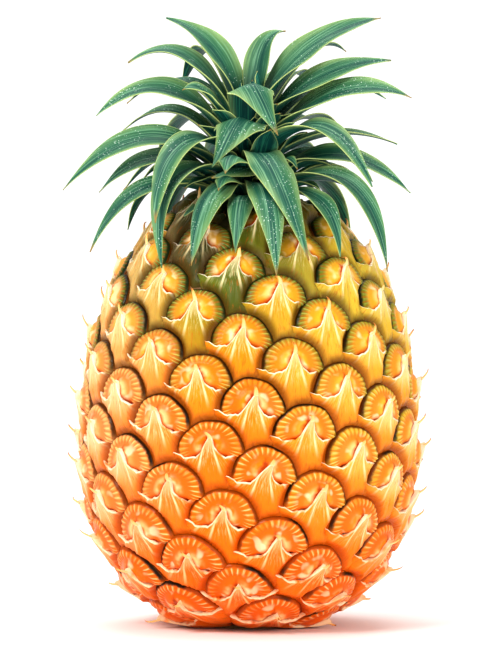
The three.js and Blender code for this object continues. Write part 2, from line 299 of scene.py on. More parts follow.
LINE_STEPS = 1201
steps = np.linspace(0, np.pi, LINE_STEPS)
line_z = FOOT_HEIGHT + (SHOULDER_HEIGHT - FOOT_HEIGHT) * (1 - np.cos(steps)) / 2
line_r = seam_radius(line_z)
pieces_long = np.hypot(np.diff(line_z), np.diff(line_r))
middles = np.maximum((line_r[1:] + line_r[:-1]) / 2, POLE_RADIUS / 2)
line_arc = np.concatenate([[0], np.cumsum(pieces_long)])
eyes_there = pieces_long * 2 * np.pi * middles / eye_area(line_z[1:])
line_eye = np.concatenate([[0], np.cumsum(eyes_there)])
line_eye -= line_eye[np.searchsorted(line_z, FRONT_EYE_HEIGHT)]
line_out = np.gradient(line_z, line_arc)
line_up = -np.gradient(line_r, line_arc)
print("eyes from", math.ceil(line_eye[0]), "to", math.floor(line_eye[-1]))


# %% Which eyes show
def on_line(values, at):
    """A value of the outline at the height of an eye."""
    return np.interp(at, line_eye, values)


EDGE_RADIUS_LOW, EDGE_RADIUS_HIGH = 24, 17
all_eyes = np.arange(math.ceil(line_eye[0]), math.floor(line_eye[-1]) + 1)
radius_there = on_line(line_r, all_eyes)
height_there = on_line(line_z, all_eyes)
eyes = all_eyes[np.where(height_there < WAIST_HEIGHT, radius_there > EDGE_RADIUS_LOW,
                         radius_there > EDGE_RADIUS_HIGH)]
print(len(eyes), "eyes show")


# %% [markdown]
# ### Laying tiles
# Geometry Nodes lay one tile for every eye. The tree puts the tiles on points, picks one of a few
# variants with a fixed seed, turns and scales it a little, and notes the number of its eye. The tiles
# are laid flat and on top of each other, because a flat tile is easy to shape. A short function then
# wraps each tile round the fruit: across turns round the axis, up runs along the outline, and
# height stands off the skin.

# %% The tree that lays tiles
def laying_tree():
    tree = bpy.data.node_groups.new("Lay tiles", "GeometryNodeTree")
    face = tree.interface
    face.new_socket("Geometry", in_out="INPUT", socket_type="NodeSocketGeometry")
    for name, kind in (("Tiles", "NodeSocketCollection"), ("Variants", "NodeSocketInt"),
                       ("Turn", "NodeSocketFloat"), ("Growth", "NodeSocketFloat"),
                       ("Seed", "NodeSocketInt"), ("Finish", "NodeSocketMaterial")):
        face.new_socket(name, in_out="INPUT", socket_type=kind)
    face.new_socket("Geometry", in_out="OUTPUT", socket_type="NodeSocketGeometry")
    nodes, link = tree.nodes, tree.links.new
    given = nodes.new("NodeGroupInput")
    source = given.outputs

    def put_all(sockets, values):
        for socket, value in zip(sockets, values):
            if isinstance(value, bpy.types.NodeSocket):
                link(value, socket)
            else:
                socket.default_value = value

    def sum_of(operation, a, b):
        made = nodes.new("ShaderNodeMath")
        made.operation = operation
        put_all(made.inputs, (a, b))
        return made.outputs[0]

    def random(kind, low, high, offset):
        made = nodes.new("FunctionNodeRandomValue")
        made.data_type = kind
        first = {"INT": 4, "FLOAT": 2}[kind]
        put_all(made.inputs[first:first + 2], (low, high))
        link(sum_of("ADD", source["Seed"], offset), made.inputs["Seed"])
        return made.outputs[{"INT": 2, "FLOAT": 1}[kind]]

    tiles = nodes.new("GeometryNodeCollectionInfo")
    tiles.inputs["Separate Children"].default_value = True
    tiles.inputs["Reset Children"].default_value = True
    link(source["Tiles"], tiles.inputs["Collection"])
    lay = nodes.new("GeometryNodeInstanceOnPoints")
    lay.inputs["Pick Instance"].default_value = True
    link(source["Geometry"], lay.inputs["Points"])
    link(tiles.outputs[0], lay.inputs["Instance"])
    last_variant = sum_of("SUBTRACT", source["Variants"], 1.0)
    link(random("INT", 0, last_variant, 0.0), lay.inputs["Instance Index"])
    turn = nodes.new("ShaderNodeCombineXYZ")
    least_turn = sum_of("MULTIPLY", source["Turn"], -1.0)
    link(random("FLOAT", least_turn, source["Turn"], 1.0), turn.inputs[2])
    link(turn.outputs[0], lay.inputs["Rotation"])
    grow = random("FLOAT", sum_of("SUBTRACT", 1.0, source["Growth"]),
                  sum_of("ADD", 1.0, source["Growth"]), 2.0)
    link(grow, lay.inputs["Scale"])
    number = nodes.new("GeometryNodeStoreNamedAttribute")
    number.data_type, number.domain = "FLOAT", "INSTANCE"
    number.inputs["Name"].default_value = "number"
    link(lay.outputs[0], number.inputs["Geometry"])
    link(nodes.new("GeometryNodeInputIndex").outputs[0], number.inputs["Value"])
    real = nodes.new("GeometryNodeRealizeInstances")
    link(number.outputs[0], real.inputs[0])
    paint = nodes.new("GeometryNodeSetMaterial")
    link(real.outputs[0], paint.inputs["Geometry"])
    link(source["Finish"], paint.inputs["Material"])
    link(paint.outputs[0], nodes.new("NodeGroupOutput").inputs[0])
    return tree


LAYING = laying_tree()


# %% From a flat tile to the fruit
LIFT_FROM, LIFT_FULL = 8, 22
SOFTENS_BELOW = 1


def smooth_step(x, low, high):
    t = np.clip((x - low) / (high - low), 0, 1)
    return t * t * (3 - 2 * t)


def eye_angle(number):
    return FRONT_EYE_ANGLE - 2 * np.pi * EYE_TURN * number


def eye_size(number):
    return np.sqrt(eye_area(on_line(line_z, number)) / EYE_AREA)


def skin_place(number, across, up):
    """Angle, arc, radius and the rest of the outline under a place on an eye's flat tile."""
    size = eye_size(number)
    arc = on_line(line_arc, number) + up * size
    r, z, out, rise = (np.interp(arc, line_arc, v) for v in (line_r, line_z, line_out, line_up))
    return eye_angle(number) + across * size / np.maximum(r, POLE_RADIUS), arc, r, z, out, rise


def wrapped(number, across, up, height):
    """Points on the fruit, in metres, for places on flat tiles in millimetres. None reach the floor."""
    angle, _, r, z, out, rise = skin_place(number, across, up)
    lift = height * eye_size(number) * smooth_step(r, LIFT_FROM, LIFT_FULL)
    reach = r + out * lift
    top = z + rise * lift
    top = np.where(top < SOFTENS_BELOW, np.exp(np.minimum(top, SOFTENS_BELOW) - SOFTENS_BELOW), top)
    return np.stack([reach * np.sin(angle), -reach * np.cos(angle), top], 1) * MM


# %% How near the next caps are
CAP_HALF_WIDTH, CAP_TOP, CAP_SKIRT, CAP_DROP, CAP_HEIGHT = 13.0, 13.1, 8.0, 4.2, 3.1
FARTHEST_NEIGHBOUR = 34
CHINK_FLOOR, CHINK_RISE = 0.1, 0.5


def next_caps(number, across, up, sink):
    """The shadow of the next caps, and how far they press this tile down, both 0 to 1."""
    angle, arc, r = skin_place(number, across, up)[:3]
    shadow, pressed = np.zeros(len(angle)), np.zeros(len(angle))
    for shift in [s for s in range(-FARTHEST_NEIGHBOUR, FARTHEST_NEIGHBOUR + 1) if s]:
        other = number + shift
        size = eye_size(other)
        turn = (angle - eye_angle(other) + np.pi) % (2 * np.pi) - np.pi
        aside = turn * r / size / CAP_HALF_WIDTH
        above = (arc - on_line(line_arc, other)) / size + CAP_DROP
        above = above / np.where(above > 0, CAP_TOP, CAP_SKIRT)
        far = np.hypot(aside, above)
        there = (other >= eyes[0]) * (other <= eyes[-1])
        seam = smooth_step(above / np.maximum(far, 0.01), -0.3, 0.05) * there
        shadow = np.maximum(shadow, (1 - smooth_step(far, 0.98, 1.22)) * seam)
        pressed = np.maximum(pressed, (1 - smooth_step(far, 0.97, 1.0 + sink)) * seam)
    return shadow, pressed


# %% Lay one kind of tile and wrap it round the fruit
def lay_tiles(name, variants, numbers, finish, turn=0.0, growth=0.0, sink=0.0):
    shelf = bpy.data.collections.new(name + "_tiles")
    for i, mesh in enumerate(variants):
        shelf.objects.link(bpy.data.objects.new(f"{name}_tile_{i}", mesh))
    spots = bpy.data.meshes.new(name + "_spots")
    spots.from_pydata([(0, 0, 0)] * len(numbers), [], [])
    bench = new_object(name + "_bench", spots)
    modifier = bench.modifiers.new("Lay tiles", "NODES")
    modifier.node_group = LAYING
    sockets = {s.name: s.identifier for s in LAYING.interface.items_tree if s.in_out == "INPUT"}
    wanted = {"Tiles": shelf, "Variants": len(variants), "Turn": turn, "Growth": growth,
              "Seed": SEED, "Finish": finish}
    for key, value in wanted.items():
        modifier[sockets[key]] = value
    bpy.context.view_layer.update()
    laid = bpy.data.meshes.new_from_object(bench.evaluated_get(bpy.context.evaluated_depsgraph_get()))
    bench.modifiers.remove(modifier)
    for thing in [bench, *shelf.objects]:
        bpy.data.objects.remove(thing)
    bpy.data.collections.remove(shelf)
    flat = points_of(laid)
    number = np.asarray(numbers, float)[np.rint(values_of(laid, "number")).astype(int)]
    shadow, pressed = next_caps(number, flat[:, 0], flat[:, 1], sink)
    keep = 1 - pressed * (sink > 0)
    own = np.random.default_rng(SEED + 1).random(len(all_eyes))[(number - all_eyes[0]).astype(int)]
    chink_floor = CHINK_FLOOR + (CHINK_RISE * values_of(laid, "lip") if sink else 0)
    above = flat[:, 2] - chink_floor
    height = np.where(above > 0, above * keep, above) + chink_floor
    places = wrapped(number, flat[:, 0], flat[:, 1], height)
    laid.vertices.foreach_set("co", places.astype(np.float32).ravel())
    note_values(laid, "shadow", shadow)
    note_values(laid, "own", own)
    note_values(laid, "level", on_line(line_z, number) / SHOULDER_HEIGHT)
    laid.update()
    print(name, len(laid.polygons), "faces")
    return new_object(name, laid)


# %% [markdown]
# ### Colours of the ripening skin
# The fruit ripens from its foot up. It is red-orange at the foot, orange at the waist, yellow above it
# and green under the crown; right under the crown it turns near black, a painted shadow of the leaves.
# Its right side is a little yellower, and its left side a little paler, a painted highlight on the side
# that faces the key light. Each eye differs a bit from its neighbours. All three skin finishes start
# from this one ramp.

# %% The ramp that the skin finishes share
# the last stop, near black at the very top, is painted shadow under the crown's leaves
RIPE_AND_CROWN_SHADOW = [(0.02, (0.98, 0.15, 0.002)), (0.3, (0.97, 0.18, 0.002)), (0.55, (0.94, 0.21, 0.003)),
        (0.72, (0.82, 0.28, 0.006)), (0.83, (0.42, 0.27, 0.010)), (0.93, (0.13, 0.16, 0.012)),
        (1.0, (0.030, 0.045, 0.008))]
RIGHT_YELLOW, LEFT_HIGHLIGHT_CREAM = (0.84, 0.56, 0.06), (0.98, 0.54, 0.22)


def skin_colour(finish, shift=0.0):
    patch = finish.math("MULTIPLY_ADD", finish.noise(finish.place(), 35), 0.16, -0.08)
    own = finish.math("MULTIPLY_ADD", finish.attribute("own"), 0.26, -0.13 + shift)
    level = finish.math("ADD", finish.math("ADD", finish.attribute("level"), own), patch)
    base = finish.ramp(level, RIPE_AND_CROWN_SHADOW)
    high = finish.between(finish.attribute("level"), 0.12, 0.5)
    right = finish.times(finish.between(finish.sideways(), -0.01, 0.055), high)
    # painted highlight: the left side, toward the key light, is mixed toward a pale cream
    left = finish.times(finish.between(finish.sideways(), -0.015, -0.065), high)
    base = finish.mix(finish.times(right, 0.75), base, RIGHT_YELLOW)
    return finish.mix(finish.times(left, 0.75), base, LEFT_HIGHLIGHT_CREAM)


# %% [markdown]
# ### Caps
# The upper half of each eye is a round, flattish dome. Round its rim runs a ring of 21 pale ribs,
# and inside that a smooth bulge rises to the bract's tip. The ribs are real ridges, so the tile is a
# round grid whose spokes stand closer together over the top, where the ribs are.

# %% Cap tiles
EDGE_ACROSS = [0, 0.7, 1.3, 2.0, 3.0, 4.5, 6.5, 9.0, 12.0, 14.2]
EDGE_UP = [2.6, 1.5, 0.0, -1.9, -3.6, -4.9, -5.6, -5.4, -4.3, -3.4]
RIB_COUNT, RIB_HEIGHT = 21, 0.24
CAP_RINGS = np.array([0.14, 0.28, 0.42, 0.54, 0.64, 0.72, 0.80, 0.88, 0.94, 0.98, 1.0])
UPPER_SPOKES, LOWER_SPOKES = 63, 6
CAP_SWEEP_START, CAP_SWEEP_END = -0.15 * np.pi, 1.15 * np.pi
INNER_RISE, HIDDEN_SINK, RIM_SINK = 3.6, 0.6, 1.3
CAP_VARIANTS = 6


def cap_tile(index):
    own = np.random.default_rng(SEED + 10 + index)
    upper = np.linspace(CAP_SWEEP_START, CAP_SWEEP_END, UPPER_SPOKES)
    lower = np.linspace(CAP_SWEEP_END, 2 * np.pi + CAP_SWEEP_START, LOWER_SPOKES + 2)[1:-1]
    spokes = np.concatenate([upper, lower])
    rings, spoke = np.meshgrid(CAP_RINGS, spokes, indexing="ij")
    wobble = 1 + 0.018 * np.sin(3 * spoke + own.uniform(0, 6))
    wobble += 0.012 * np.sin(7 * spoke + own.uniform(0, 6))
    wide, high = own.uniform(0.96, 1.03), own.uniform(0.94, 1.03)
    tall = np.where(np.sin(spoke) > 0, CAP_TOP, CAP_SKIRT)
    across = rings * wobble * wide * CAP_HALF_WIDTH * np.cos(spoke)
    up = -CAP_DROP + INNER_RISE * (1 - rings) + rings * wobble * high * tall * np.sin(spoke)
    dome = CAP_HEIGHT * np.sqrt(np.clip(1 - rings ** 3.4, 0, 1))
    dome += 0.8 * np.exp(-((rings - 0.28) / 0.18) ** 2) - 0.5 * np.exp(-((rings - 0.56) / 0.10) ** 2)
    share = (spoke - CAP_SWEEP_START) / (CAP_SWEEP_END - CAP_SWEEP_START)
    ribbed = smooth_step(rings, 0.56, 0.70) * (1 - smooth_step(rings, 0.90, 0.97)) * (share < 1)
    wave = np.cos(2 * np.pi * RIB_COUNT * share + 0.5 * np.sin(5 * spoke + own.uniform(0, 6)))
    height = dome + RIB_HEIGHT * ribbed * wave
    above = up - np.interp(np.abs(across), EDGE_ACROSS, EDGE_UP)
    under_tongue = 3.6 * np.exp(-(across / 2.4) ** 2)
    hidden = smooth_step(-above - under_tongue, 0.0, 0.9)
    height = height * (1 - hidden) - HIDDEN_SINK * hidden
    height = np.where(rings > 0.99, -RIM_SINK, height)
    middle = [[0.0, INNER_RISE - CAP_DROP, CAP_HEIGHT + 0.1]]
    points = np.concatenate([middle, np.stack([across, up, height], -1).reshape(-1, 3)])
    count = len(spokes)
    faces = [(0, 1 + c, 1 + (c + 1) % count) for c in range(count)]
    faces += [tuple(1 + i for i in face[::-1]) for face in grid_faces(len(CAP_RINGS), count, closed=True)]
    # crease marks the cap just above the bract's lip, where a painted shadow of the tongue goes
    crease = (1 - smooth_step(above, 0.0, 2.2)) * (1 - smooth_step(np.abs(across), 6.0, 9.0))
    notes = {"rim": (0, rings), "rib": (0, wave * ribbed), "top": (0, np.sin(spoke)), "crease": (1, crease)}
    notes = {key: np.append(first, values.ravel()) for key, (first, values) in notes.items()}
    return mesh_from(f"cap_tile_{index}", points, faces, notes)


cap_tiles = [cap_tile(i) for i in range(CAP_VARIANTS)]
print("faces on a cap tile:", len(cap_tiles[0].polygons))

# %% Cap finish
SKIN_SHEEN = {"Coat_Weight": 0.03, "Subsurface_Weight": 0.1, "Subsurface_Scale": 0.003,
              "Specular_IOR_Level": 0.11}
WARM_ORANGE, BAND_RED = (0.95, 0.42, 0.02), (0.72, 0.11, 0.006)
BULGE_HIGHLIGHT_CREAM, GLINT_CREAM = (0.98, 0.66, 0.30), (0.98, 0.80, 0.50)
RIM_OLIVE, RIGHT_OLIVE = (0.085, 0.11, 0.012), (0.34, 0.34, 0.02)
FURROW_SHADE_RED, TONGUE_SHADOW_RED = (0.45, 0.09, 0.006), (0.46, 0.06, 0.003)
EDGE_SHADE_DARK, EDGE_SHADE_BROWN = (0.020, 0.010, 0.003), (0.20, 0.055, 0.004)

cap = Finish("fruit_caps_waxy", roughness=0.30, Coat_Roughness=0.15, **SKIN_SHEEN)
rim, level, rib = (cap.attribute(key) for key in ("rim", "level", "rib"))
cap.colour = skin_colour(cap)
# the middle, its bulge and the band round it
warm = cap.times(cap.between(rim, 0.78, 0.35), cap.between(level, 0.5, 0.72))
warm = cap.times(warm, cap.between(level, 1.0, 0.86))
cap.paint(WARM_ORANGE, cap.times(warm, 0.7))
red_band = cap.times(cap.between(rim, 0.25, 0.5), cap.between(rim, 0.78, 0.6))
red_band = cap.times(red_band, cap.between(level, 1.0, 0.5))
cap.paint(BAND_RED, cap.times(red_band, 0.6))
# painted highlight: cream patches on the inner bulge
bulge_highlight = cap.times(cap.between(rim, 0.5, 0.22), cap.patches(160, 0.42, 0.62, 2))
cap.paint(BULGE_HIGHLIGHT_CREAM, cap.times(bulge_highlight, 0.8))
# painted glints: small cream dabs inside the rib ring
glint = cap.times(cap.patches(190, 0.56, 0.68, 1), cap.between(rim, 0.80, 0.45))
cap.paint(GLINT_CREAM, cap.times(glint, 0.55))
# the rim, olive on high caps and on the right
cap.paint(RIM_OLIVE, cap.times(cap.between(rim, 0.56, 0.86), cap.between(level, 0.42, 0.78)))
right = cap.times(cap.between(cap.sideways(), 0.0, 0.05), cap.between(level, 0.25, 0.5))
right = cap.times(right, cap.between(rim, 0.70, 0.92))
cap.paint(RIGHT_OLIVE, cap.times(right, 0.7))
# the ribs and the furrows between them; painted shade darkens the furrows, and the pale crests are partly
# their own colour and partly painted highlight
cap.paint(FURROW_SHADE_RED, cap.times(cap.between(rib, 0.0, -0.8), 0.55))
crest_pale_and_highlight = cap.times(cap.between(rib, 0.1, 0.95), cap.patches(130, 0.25, 0.6, 1))
crest_pale_and_highlight_colour = cap.ramp(level, [(0.1, (0.98, 0.66, 0.30)), (0.5, (0.96, 0.62, 0.22)),
                                (0.68, (0.46, 0.42, 0.08)), (0.85, (0.30, 0.33, 0.09))])
cap.paint(crest_pale_and_highlight_colour, cap.times(crest_pale_and_highlight, 0.85))
# painted shade: the dark line round the upper edge, where the cap drops into the seam, and a painted shadow
# of the tongue in the crease along the bract's lip
edge = cap.math("ADD", rim, cap.math("MULTIPLY_ADD", cap.noise(cap.place(), 500), 0.09, -0.045))
shade = cap.times(cap.between(edge, 0.83, 0.93), cap.between(cap.attribute("top"), -0.3, 0.2))
edge_shade_colour = cap.ramp(level, [(0.1, (0.42, 0.07, 0.003)), (0.4, (0.14, 0.035, 0.003)),
                             (0.7, (0.022, 0.018, 0.003)), (0.9, (0.012, 0.026, 0.005))])
edge_shade_colour = cap.mix(cap.patches(45, 0.52, 0.62, 1), edge_shade_colour, EDGE_SHADE_DARK)
edge_shade_colour = cap.mix(cap.between(rim, 0.965, 0.99), edge_shade_colour, EDGE_SHADE_BROWN)
cap.paint(edge_shade_colour, shade)
cap.paint(TONGUE_SHADOW_RED, cap.times(cap.attribute("crease"), cap.between(rim, 0.95, 0.7)))
cap.use(cap.colour, normal=cap.bump(cap.noise(cap.place(), 900, 2), 0.0002, 0.25))

# %% Lay the caps
half_way = len(eyes) // 2
for part, numbers in (("low", eyes[:half_way]), ("high", eyes[half_way:])):
    caps = lay_tiles("fruit_caps_" + part, cap_tiles, numbers, cap.material, turn=0.05, growth=0.02)
    finish_piece(caps, ["fruit"])

# %% [markdown]
# ### Bracts
# From between the two eyes below, a bract fans up over the lower half of each eye. Its upper edge
# sweeps in from both corners to a narrow tongue, and is a thin pale lip. Creases run down from the
# tip like the folds of a fan. The tile is a grid between the lower and the upper edge. Each tongue
# runs out into a thin, dry, hooked thorn, a tapered tube along a short curve, and on the sides of the
# fruit these thorns stand out against the white.

# %% The thorn at a tongue's tip
THORN_STEPS, THORN_SIDES, THORN_RADIUS = 8, 6, 0.8


def thorn_points(own, base):
    long, hook, lean = own.uniform(3.8, 6.0), own.uniform(0.3, 2.6), own.uniform(-2.8, 2.8)
    t = np.linspace(0, 1, THORN_STEPS)
    line = np.stack([lean * t ** 2, long * 0.75 * t - 0.5 * hook * t ** 3,
                     long * 0.6 * np.sin(t * 1.5) - 0.4 * hook * t ** 3], 1)
    ahead = np.gradient(line, axis=0)
    ahead /= np.linalg.norm(ahead, axis=1)[:, None]
    side = np.cross(ahead, [1.0, 0.0, 0.0])
    side /= np.linalg.norm(side, axis=1)[:, None]
    third = np.cross(ahead, side)
    thick = THORN_RADIUS * (1 - t) ** 0.8 + 0.08
    turns = np.linspace(0, 2 * np.pi, THORN_SIDES, endpoint=False)
    rings = [line[i] + thick[i] * (np.outer(np.cos(turns), third[i])
                                   + 0.5 * np.outer(np.sin(turns), side[i]))
             for i in range(THORN_STEPS)]
    points = np.concatenate(rings + [line[-1:] + ahead[-1:] * 0.2]) + base
    faces = [face[::-1] for face in grid_faces(THORN_STEPS, THORN_SIDES, closed=True)]
    last = (THORN_STEPS - 1) * THORN_SIDES
    faces += [(last + (i + 1) % THORN_SIDES, last + i, len(points) - 1) for i in range(THORN_SIDES)]
    return points, faces, np.concatenate([np.repeat(t, THORN_SIDES), [1]])


# %% Bract tiles
FOOT_ACROSS = [0, 5, 9, 12, 14.2]
FOOT_UP = [-25, -23.5, -20, -13.5, -3.6]
BRACT_HALF_WIDTH = 14.2
BRACT_ROWS, BRACT_COLUMNS = 13, 37
BRACT_LIFT, TONGUE_LIFT, FOOT_SINK = 3.3, 1.8, 1.6
CREASES = (0.26, 0.66)
BRACT_VARIANTS = 7


def bract_tile(index):
    own = np.random.default_rng(SEED + 30 + index)
    lean = own.uniform(-2.4, 2.4)
    side = np.linspace(-1, 1, BRACT_COLUMNS)
    across = BRACT_HALF_WIDTH * np.sign(side) * np.abs(side) ** 1.55
    edge = np.interp(np.abs(across), EDGE_ACROSS, EDGE_UP)
    ripple = np.sin(across * 1.3 + own.uniform(0, 6)) + 0.6 * np.sin(across * 2.9 + own.uniform(0, 6))
    edge += 0.28 * ripple * smooth_step(np.abs(across), 1.0, 3.0)
    foot = np.interp(np.abs(across), FOOT_ACROSS, FOOT_UP)
    v, a = np.meshgrid(np.linspace(0, 1, BRACT_ROWS) ** 0.8, across, indexing="ij")
    b = foot + v * (edge - foot)
    tongue = np.exp(-(a / 2.6) ** 2)
    shift = lean * smooth_step(b, -4.0, 2.5) * tongue
    fan = np.arctan2(a, 4.5 - b) + own.uniform(-0.06, 0.06)
    reach = np.hypot(a, 4.5 - b)
    open_fan = smooth_step(reach, 3.0, 8.0)
    folds = sum(0.55 * np.exp(-((np.abs(fan) - crease) / 0.075) ** 2) for crease in CREASES)
    folds = (folds + 0.16 * np.cos(fan * 31 + own.uniform(0, 6))) * open_fan
    folds *= (1 - smooth_step(reach, 15, 22)) * smooth_step(v, 0.05, 0.4) * (1 - v ** 8)
    height = 0.2 - FOOT_SINK * (1 - smooth_step(v, 0, 0.12)) + folds
    height += BRACT_LIFT * v ** 0.7 * (1 - 0.6 * side ** 4) + 0.45 * smooth_step(v, 0.86, 1.0)
    height += TONGUE_LIFT * tongue * smooth_step(b, -9.0, 1.0)
    top = np.stack([a + shift, b, height], -1)
    zero = 0 * across
    fold_over = top[-1] + np.stack([zero, zero + 0.25, zero - 0.5], -1)
    sunk = top[-1] + np.stack([zero, zero - 0.4, zero - 3.2], -1)
    thorn, thorn_faces, thorn_along = thorn_points(own, top[-1, BRACT_COLUMNS // 2] - [0, 0.9, 0.35])
    points = np.concatenate([top.reshape(-1, 3), fold_over, sunk, thorn])
    blade = (BRACT_ROWS + 2) * BRACT_COLUMNS
    faces = grid_faces(BRACT_ROWS + 2, BRACT_COLUMNS) + [tuple(blade + i for i in f) for f in thorn_faces]
    rest = np.zeros(len(thorn))
    lip = np.concatenate([v.ravel(), 1 + zero, 1 + zero, rest + 0.9])
    line = np.concatenate([fan.ravel(), fan[-1], fan[-1], rest])
    span = np.concatenate([reach.ravel(), reach[-1], reach[-1], rest + 4])
    spine = np.concatenate([np.zeros(blade), 0.2 + thorn_along])
    notes = {"lip": lip, "fan": line, "span": span, "spine": spine}
    return mesh_from(f"bract_tile_{index}", points, faces, notes)


bract_tiles = [bract_tile(i) for i in range(BRACT_VARIANTS)]
print("faces on a bract tile:", len(bract_tiles[0].polygons))

# %% Bract finish
DEEP_ORANGE, STREAK_BROWN = (0.86, 0.18, 0.004), (0.50, 0.12, 0.008)

bract = Finish("fruit_bracts_silky", roughness=0.34, Coat_Roughness=0.2, **SKIN_SHEEN)
lip, fan, span, own, level, shadow, spine = (
    bract.attribute(key) for key in ("lip", "fan", "span", "own", "level", "shadow", "spine"))
bract.colour = skin_colour(bract, 0.03)
deep = bract.times(bract.between(span, 9, 19), bract.between(level, 0.85, 0.5))
bract.paint(DEEP_ORANGE, bract.times(deep, 0.7))
# pale streaks that fan out from the tip, partly the bract's own colour and partly painted highlight,
# stronger at the fruit's sides, and a painted highlight line on each fold
at_side = bract.between(bract.math("ABSOLUTE", bract.sideways()), 0.030, 0.062)
streak_place = bract.node("ShaderNodeCombineXYZ", (
    bract.times(fan, 10.0), bract.times(span, 0.09), bract.times(own, 40.0))).outputs[0]
streaks = bract.noise(streak_place, 2.4, 4, 0.62)
near_tip = bract.between(span, 17, 4)
pale_and_highlight = bract.times(bract.between(streaks, 0.48, 0.66), near_tip)
pale_and_highlight = bract.times(pale_and_highlight, bract.math("MULTIPLY_ADD", at_side, 0.1, 0.88))
pale_and_highlight = bract.math("MAXIMUM", pale_and_highlight, bract.times(bract.times(at_side, near_tip), 0.75))
pale_and_highlight = bract.math("MAXIMUM", pale_and_highlight, bract.times(bract.between(span, 10, 3), 0.5))
for crease in CREASES:
    off = bract.math("ABSOLUTE", bract.math("SUBTRACT", bract.math("ABSOLUTE", fan), crease))
    fold_highlight = bract.times(bract.between(off, 0.055, 0.012), bract.between(span, 18, 10))
    pale_and_highlight = bract.math("MAXIMUM", pale_and_highlight, bract.times(fold_highlight, 0.85))
bract.paint(bract.ramp(level, [(0.1, (0.98, 0.60, 0.24)), (0.4, (0.98, 0.74, 0.42)),
                               (0.7, (0.98, 0.80, 0.44))]), pale_and_highlight)
bract.paint(STREAK_BROWN, bract.times(bract.between(streaks, 0.44, 0.34), 0.5))
# the painted shadow of the next caps, the pale lip, partly its own colour and partly a painted highlight,
# and the dry thorn
bract.paint(bract.ramp(level, [(0.15, (0.68, 0.08, 0.003)), (0.45, (0.42, 0.07, 0.003)),
                               (0.8, (0.090, 0.045, 0.004))]), bract.times(shadow, 0.9))
lip_pale_and_highlight = bract.times(bract.between(lip, 0.965, 1.0), bract.patches(220, 0.25, 0.55, 1))
lip_pale_and_highlight = bract.times(lip_pale_and_highlight, bract.between(shadow, 0.9, 0.3))
bract.paint(bract.ramp(level, [(0.15, (0.98, 0.66, 0.40)), (0.5, (0.98, 0.82, 0.60))]), lip_pale_and_highlight)
bract.paint(bract.ramp(spine, [(0.2, (0.98, 0.66, 0.32)), (0.8, (0.95, 0.50, 0.14)),
                               (1.0, (0.50, 0.17, 0.03))]), bract.between(spine, 0.0, 0.2))
bract.use(bract.colour, normal=bract.bump(streaks, 0.0005, 0.5))

# %% Lay the bracts
bracts = lay_tiles("fruit_bracts", bract_tiles, eyes, bract.material, turn=0.07, growth=0.03, sink=0.12)
finish_piece(bracts, ["fruit"])

# %% [markdown]
# ### The skin between the eyes
# Under the tiles lies the fruit itself: a lathed skin on the seams' outline, flat at the foot and at
# the top. Where tiles cover it, only chinks of it show between them, and it is painted dark brown as
# the shade in those chinks.

# %% Fruit body
BODY_SIDES, BODY_ROWS = 96, 64
BODY_SHADE_SHARE, BODY_SHADE_BROWN = 0.82, (0.05, 0.022, 0.006)
body_arcs = np.linspace(np.interp(BASE_FACE_HEIGHT, line_z, line_arc),
                        np.interp(TOP_FACE_HEIGHT, line_z, line_arc), BODY_ROWS)
body_turns = np.linspace(0, 2 * np.pi, BODY_SIDES, endpoint=False)
body_rings = [ring(np.interp(arc, line_arc, line_r), body_turns, np.interp(arc, line_arc, line_z))
              for arc in body_arcs]
body_points, body_faces = capped_rings(body_rings, BASE_FACE_HEIGHT, TOP_FACE_HEIGHT)
body_level = body_points[:, 2] / MM / SHOULDER_HEIGHT
body = new_object("fruit_body", mesh_from("fruit_body", body_points, body_faces, {
    "level": body_level, "own": 0 * body_level + 0.5}))

body_finish = Finish("fruit_seams_shaded", roughness=0.6)
# painted shade: the skin colour is mixed mostly to dark brown, for the shade deep in the chinks
body_colour = body_finish.mix(BODY_SHADE_SHARE, skin_colour(body_finish), BODY_SHADE_BROWN)
body_grain = body_finish.noise(body_finish.place(), 500)
body_finish.use(body_colour, normal=body_finish.bump(body_grain, 0.0004, 0.6))
body.data.materials.append(body_finish.material)
finish_piece(body, ["fruit"])

# %% [markdown]
# ### The cut stalk
# The fruit stands on its stalk, cut flush. A cut stalk is dry and woody, with a pale, fibrous core in
# a browner ring, so the disc gets a slightly uneven rim and rings and fibres in its finish.

# %% Stalk
STALK_RADIUS, STALK_HEIGHT, STALK_SIDES = 16, 1.6, 72
STALK_PROFILE = [(0.55, 0), (0.96, 0), (0.985, 0.15), (0.985, STALK_HEIGHT - 0.2),
                 (0.96, STALK_HEIGHT), (0.5, STALK_HEIGHT)]
stalk_turns = np.linspace(0, 2 * np.pi, STALK_SIDES, endpoint=False)
stalk_rim = 1 + 0.015 * np.sin(5 * stalk_turns) + 0.01 * np.sin(11 * stalk_turns + 1)
stalk_rings = [ring(STALK_RADIUS * share * stalk_rim, stalk_turns, z) for share, z in STALK_PROFILE]
stalk_mesh = mesh_from("stalk_cut_face", *capped_rings(stalk_rings, 0, STALK_HEIGHT))
stalk = new_object("stalk_cut_face", stalk_mesh)

stalk_finish = Finish("stalk_fibres", roughness=0.85)
fibre = stalk_finish.noise(stalk_finish.place(), 900, 4)
stalk_place = (stalk_finish.place(),)
distance = stalk_finish.node("ShaderNodeVectorMath", stalk_place, operation="LENGTH").outputs["Value"]
stalk_colour = stalk_finish.ramp(stalk_finish.between(distance, 0.002, 0.016), [
    (0.0, (0.62, 0.48, 0.25)), (0.7, (0.50, 0.34, 0.15)), (1.0, (0.20, 0.11, 0.04))])
stalk_colour = stalk_finish.mix(stalk_finish.between(fibre, 0.5, 0.7), stalk_colour, (0.26, 0.15, 0.06))
stalk.data.materials.append(stalk_finish.use(stalk_colour, normal=stalk_finish.bump(fibre, 0.0004, 0.8)))
finish_piece(stalk, ["stalk_stub"])

